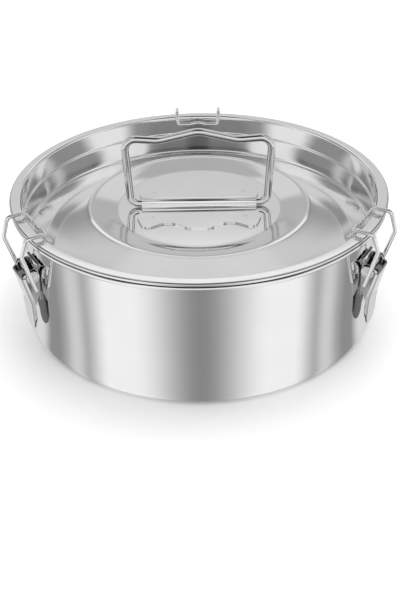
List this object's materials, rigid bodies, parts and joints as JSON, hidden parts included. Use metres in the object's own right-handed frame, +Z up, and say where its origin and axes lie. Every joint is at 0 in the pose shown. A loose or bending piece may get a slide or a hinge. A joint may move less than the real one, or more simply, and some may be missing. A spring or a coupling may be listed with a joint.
{
  "type": "flan mould",
  "caption": "Round stainless steel flan mould with a recessed lid, a folding wire handle and toggle latches on the rim.",
  "frame": {"origin": "centre of the pan's flat underside, where the mould rests", "axes": "+Z up along the pan's axis, +Y towards the back latch, +X to the right with the handle's hinge line along X"},
  "size_m": [0.2, 0.2063, 0.1025],
  "materials": {
    "pan_steel": "mirror-polished stainless steel sheet",
    "lid_steel": "polished stainless steel sheet with fine spinning marks",
    "strap_steel": "pressed and polished stainless steel sheet",
    "handle_wire": "polished stainless steel wire",
    "latch_steel": "pressed and tumbled stainless steel sheet",
    "rivet_steel": "polished stainless steel rivet",
    "latch_wire_steel": "polished stainless steel wire"
  },
  "bodies": {
    "pan": {"pan_body": "pan_steel", "lid": "lid_steel", "handle_strap": "strap_steel", "latch_back_bracket": "latch_steel", "latch_back_rivet": "rivet_steel", "latch_left_bracket": "latch_steel", "latch_left_rivet": "rivet_steel", "latch_right_bracket": "latch_steel", "latch_right_rivet": "rivet_steel"},
    "handle": {"handle_bail": "handle_wire"},
    "back_lever": {"latch_back_lever": "latch_steel"},
    "back_wire": {"latch_back_wire": "latch_wire_steel"},
    "left_lever": {"latch_left_lever": "latch_steel"},
    "left_wire": {"latch_left_wire": "latch_wire_steel"},
    "right_lever": {"latch_right_lever": "latch_steel"},
    "right_wire": {"latch_right_wire": "latch_wire_steel"}
  },
  "joints": [
    {"name": "handle_fold", "type": "hinge", "parent": "pan", "child": "handle", "pos_m": [0, 0, 0.0593], "axis": [1, 0, 0], "range_deg": [-84, 84]},
    {"name": "back_lever_open", "type": "hinge", "parent": "pan", "child": "back_lever", "pos_m": [0, 0.0994, 0.0486], "axis": [1, 0, 0], "range_deg": [0, 105]},
    {"name": "back_wire_turn", "type": "hinge", "parent": "back_lever", "child": "back_wire", "pos_m": [0, 0.0988, 0.0408], "axis": [1, 0, 0], "range_deg": [-74, 0]},
    {"name": "left_lever_open", "type": "hinge", "parent": "pan", "child": "left_lever", "pos_m": [-0.08608, -0.0497, 0.0486], "axis": [-0.5, 0.866, 0], "range_deg": [0, 105]},
    {"name": "left_wire_turn", "type": "hinge", "parent": "left_lever", "child": "left_wire", "pos_m": [-0.08556, -0.0494, 0.0408], "axis": [-0.5, 0.866, 0], "range_deg": [-74, 0]},
    {"name": "right_lever_open", "type": "hinge", "parent": "pan", "child": "right_lever", "pos_m": [0.08608, -0.0497, 0.0486], "axis": [-0.5, -0.866, 0], "range_deg": [0, 105]},
    {"name": "right_wire_turn", "type": "hinge", "parent": "right_lever", "child": "right_wire", "pos_m": [0.08556, -0.0494, 0.0408], "axis": [-0.5, -0.866, 0], "range_deg": [-74, 0]}
  ],
  "couplings": [
    {"joint": "back_wire_turn", "follows": "back_lever_open", "ratio": -0.7},
    {"joint": "left_wire_turn", "follows": "left_lever_open", "ratio": -0.7},
    {"joint": "right_wire_turn", "follows": "right_lever_open", "ratio": -0.7}
  ]
}
